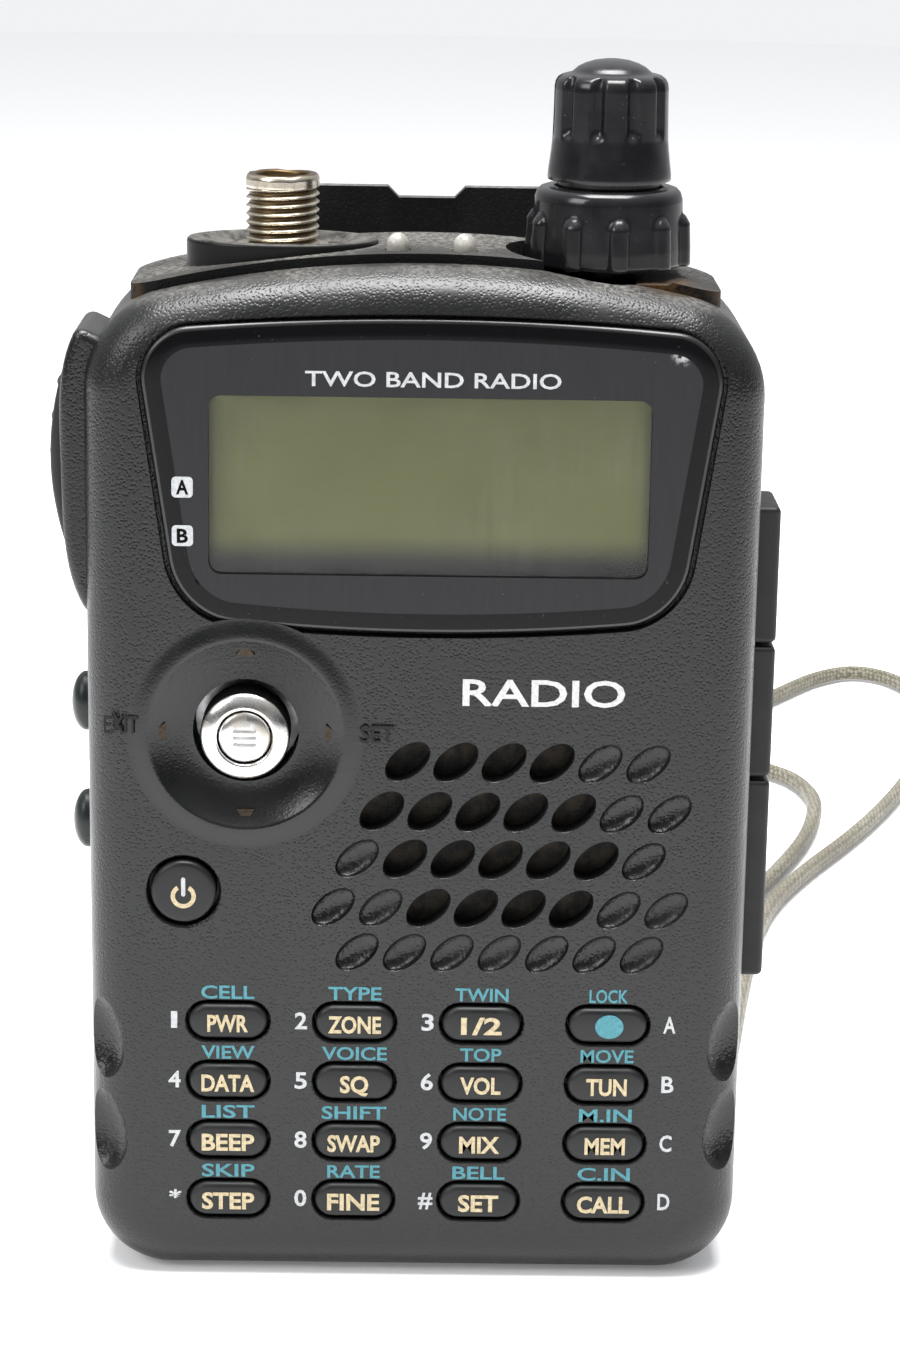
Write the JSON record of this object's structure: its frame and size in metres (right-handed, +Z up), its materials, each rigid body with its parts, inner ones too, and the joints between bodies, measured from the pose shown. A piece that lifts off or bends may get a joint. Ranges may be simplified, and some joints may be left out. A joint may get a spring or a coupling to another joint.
{
  "type": "handheld two-way radio",
  "caption": "Compact handheld radio with a display, keypad, small joystick, twin top knobs, threaded aerial connector, hinged battery pack, belt clip and wrist strap.",
  "frame": {"origin": "middle of the flat base that the radio stands on, under the seam of the two case halves", "axes": "+X to the right seen from the front, +Y towards the back, +Z up along the body"},
  "size_m": [0.1076, 0.2096, 0.108],
  "materials": {
    "case_plastic": "fine pebbled matt",
    "gloss_plastic": "polished",
    "lens": "clear, printed dark behind",
    "lcd": "smooth",
    "white_plastic": "satin",
    "key_rubber": "matt",
    "rubber": "matt",
    "chrome": "bright",
    "gold_plate": "tarnished plating",
    "ptfe": "waxy",
    "lamp": "translucent",
    "board": "solder resist",
    "steel": "plain",
    "cloth": "open weave",
    "paper_cone": "treated paper",
    "cell_wrap": "cans in a shrink wrap",
    "strap_cord": "braided"
  },
  "bodies": {
    "radio_body": {"front_case": "case_plastic", "rear_case": "case_plastic", "antenna_bezel": "gloss_plastic", "antenna_connector": "gold_plate", "antenna_insulator": "ptfe", "indicator_left": "lamp", "indicator_right": "lamp", "encoder_body": "steel", "display_lens": "lens", "lcd_glass": "lcd", "lcd_holder": "white_plastic", "joystick_base": "steel", "keypad_mat": "rubber", "control_board": "board", "main_board": "board", "speaker_cloth": "cloth", "speaker_frame": "steel", "speaker_cone": "paper_cone", "cover_anchor": "rubber", "dc_jack": "gloss_plastic", "audio_jack": "gloss_plastic", "strap_eyelet": "steel", "wrist_strap": "strap_cord"},
    "volume": {"volume_ring": "gloss_plastic"},
    "tuning": {"tuning_knob": "gloss_plastic", "tuning_shaft": "steel"},
    "gimbal": {"joystick_gimbal": "white_plastic"},
    "joystick": {"joystick_ring": "chrome"},
    "menu": {"menu_button": "chrome"},
    "power": {"power_button": "key_rubber"},
    "talk": {"talk_button": "rubber"},
    "side_upper": {"side_button_upper": "rubber"},
    "side_lower": {"side_button_lower": "rubber"},
    "flap_upper": {"cover_upper": "rubber"},
    "flap_lower": {"cover_lower": "rubber"},
    "battery": {"battery_case": "case_plastic", "battery_lid": "case_plastic", "battery_cell": "cell_wrap", "clip_bracket": "case_plastic", "clip_pin": "steel", "clip_spring": "steel"},
    "latch": {"battery_latch": "case_plastic"},
    "clip": {"belt_clip": "case_plastic"},
    "key_1_1_body": {"key_1_1": "key_rubber"},
    "key_1_2_body": {"key_1_2": "key_rubber"},
    "key_1_3_body": {"key_1_3": "key_rubber"},
    "key_1_4_body": {"key_1_4": "key_rubber"},
    "key_2_1_body": {"key_2_1": "key_rubber"},
    "key_2_2_body": {"key_2_2": "key_rubber"},
    "key_2_3_body": {"key_2_3": "key_rubber"},
    "key_2_4_body": {"key_2_4": "key_rubber"},
    "key_3_1_body": {"key_3_1": "key_rubber"},
    "key_3_2_body": {"key_3_2": "key_rubber"},
    "key_3_3_body": {"key_3_3": "key_rubber"},
    "key_3_4_body": {"key_3_4": "key_rubber"},
    "key_4_1_body": {"key_4_1": "key_rubber"},
    "key_4_2_body": {"key_4_2": "key_rubber"},
    "key_4_3_body": {"key_4_3": "key_rubber"},
    "key_4_4_body": {"key_4_4": "key_rubber"}
  },
  "joints": [
    {"name": "volume_turn", "type": "hinge", "parent": "radio_body", "child": "volume", "pos_m": [0.01565, -0.003, 0.093], "axis": [0, 0, 1], "range_deg": [-140, 140]},
    {"name": "tuning_turn", "type": "hinge", "parent": "radio_body", "child": "tuning", "pos_m": [0.01565, -0.003, 0.1], "axis": [0, 0, 1], "continuous": true},
    {"name": "joystick_up_down", "type": "hinge", "parent": "radio_body", "child": "gimbal", "pos_m": [-0.0151, -0.0106, 0.051], "axis": [1, 0, 0], "range_deg": [-6, 6], "stiffness_Nm_per_rad": 0.05},
    {"name": "joystick_left_right", "type": "hinge", "parent": "gimbal", "child": "joystick", "pos_m": [-0.0151, -0.0106, 0.051], "axis": [0, 0, 1], "range_deg": [-6, 6], "stiffness_Nm_per_rad": 0.05},
    {"name": "menu_press", "type": "slide", "parent": "joystick", "child": "menu", "axis": [0, 1, 0], "range_m": [0, 0.0004], "stiffness_N_per_m": 400},
    {"name": "power_press", "type": "slide", "parent": "radio_body", "child": "power", "axis": [0, 1, 0], "range_m": [0, 0.0005], "stiffness_N_per_m": 400},
    {"name": "talk_press", "type": "slide", "parent": "radio_body", "child": "talk", "axis": [1, 0, 0], "range_m": [0, 0.001], "stiffness_N_per_m": 400},
    {"name": "side_upper_press", "type": "slide", "parent": "radio_body", "child": "side_upper", "axis": [1, 0, 0], "range_m": [0, 0.0006], "stiffness_N_per_m": 400},
    {"name": "side_lower_press", "type": "slide", "parent": "radio_body", "child": "side_lower", "axis": [1, 0, 0], "range_m": [0, 0.0006], "stiffness_N_per_m": 400},
    {"name": "flap_upper_open", "type": "hinge", "parent": "radio_body", "child": "flap_upper", "pos_m": [0.0312, -0.0043, 0.0577], "axis": [0, 1, 0], "range_deg": [0, 95], "stiffness_Nm_per_rad": 0.002},
    {"name": "flap_lower_open", "type": "hinge", "parent": "radio_body", "child": "flap_lower", "pos_m": [0.0312, -0.0043, 0.0454], "axis": [0, -1, 0], "range_deg": [0, 95], "stiffness_Nm_per_rad": 0.002},
    {"name": "battery_swing", "type": "hinge", "parent": "radio_body", "child": "battery", "pos_m": [0, 0.00475, 0.0876], "axis": [1, 0, 0], "range_deg": [0, 35]},
    {"name": "latch_slide", "type": "slide", "parent": "battery", "child": "latch", "axis": [0, 1, 0], "range_m": [0, 0.0012]},
    {"name": "clip_open", "type": "hinge", "parent": "battery", "child": "clip", "pos_m": [0, 0.0185, 0.079], "axis": [1, 0, 0], "range_deg": [0, 11], "stiffness_Nm_per_rad": 0.3},
    {"name": "key_1_1_press", "type": "slide", "parent": "radio_body", "child": "key_1_1_body", "axis": [0, 1, 0], "range_m": [0, 0.0005], "stiffness_N_per_m": 400},
    {"name": "key_1_2_press", "type": "slide", "parent": "radio_body", "child": "key_1_2_body", "axis": [0, 1, 0], "range_m": [0, 0.0005], "stiffness_N_per_m": 400},
    {"name": "key_1_3_press", "type": "slide", "parent": "radio_body", "child": "key_1_3_body", "axis": [0, 1, 0], "range_m": [0, 0.0005], "stiffness_N_per_m": 400},
    {"name": "key_1_4_press", "type": "slide", "parent": "radio_body", "child": "key_1_4_body", "axis": [0, 1, 0], "range_m": [0, 0.0005], "stiffness_N_per_m": 400},
    {"name": "key_2_1_press", "type": "slide", "parent": "radio_body", "child": "key_2_1_body", "axis": [0, 1, 0], "range_m": [0, 0.0005], "stiffness_N_per_m": 400},
    {"name": "key_2_2_press", "type": "slide", "parent": "radio_body", "child": "key_2_2_body", "axis": [0, 1, 0], "range_m": [0, 0.0005], "stiffness_N_per_m": 400},
    {"name": "key_2_3_press", "type": "slide", "parent": "radio_body", "child": "key_2_3_body", "axis": [0, 1, 0], "range_m": [0, 0.0005], "stiffness_N_per_m": 400},
    {"name": "key_2_4_press", "type": "slide", "parent": "radio_body", "child": "key_2_4_body", "axis": [0, 1, 0], "range_m": [0, 0.0005], "stiffness_N_per_m": 400},
    {"name": "key_3_1_press", "type": "slide", "parent": "radio_body", "child": "key_3_1_body", "axis": [0, 1, 0], "range_m": [0, 0.0005], "stiffness_N_per_m": 400},
    {"name": "key_3_2_press", "type": "slide", "parent": "radio_body", "child": "key_3_2_body", "axis": [0, 1, 0], "range_m": [0, 0.0005], "stiffness_N_per_m": 400},
    {"name": "key_3_3_press", "type": "slide", "parent": "radio_body", "child": "key_3_3_body", "axis": [0, 1, 0], "range_m": [0, 0.0005], "stiffness_N_per_m": 400},
    {"name": "key_3_4_press", "type": "slide", "parent": "radio_body", "child": "key_3_4_body", "axis": [0, 1, 0], "range_m": [0, 0.0005], "stiffness_N_per_m": 400},
    {"name": "key_4_1_press", "type": "slide", "parent": "radio_body", "child": "key_4_1_body", "axis": [0, 1, 0], "range_m": [0, 0.0005], "stiffness_N_per_m": 400},
    {"name": "key_4_2_press", "type": "slide", "parent": "radio_body", "child": "key_4_2_body", "axis": [0, 1, 0], "range_m": [0, 0.0005], "stiffness_N_per_m": 400},
    {"name": "key_4_3_press", "type": "slide", "parent": "radio_body", "child": "key_4_3_body", "axis": [0, 1, 0], "range_m": [0, 0.0005], "stiffness_N_per_m": 400},
    {"name": "key_4_4_press", "type": "slide", "parent": "radio_body", "child": "key_4_4_body", "axis": [0, 1, 0], "range_m": [0, 0.0005], "stiffness_N_per_m": 400}
  ]
}
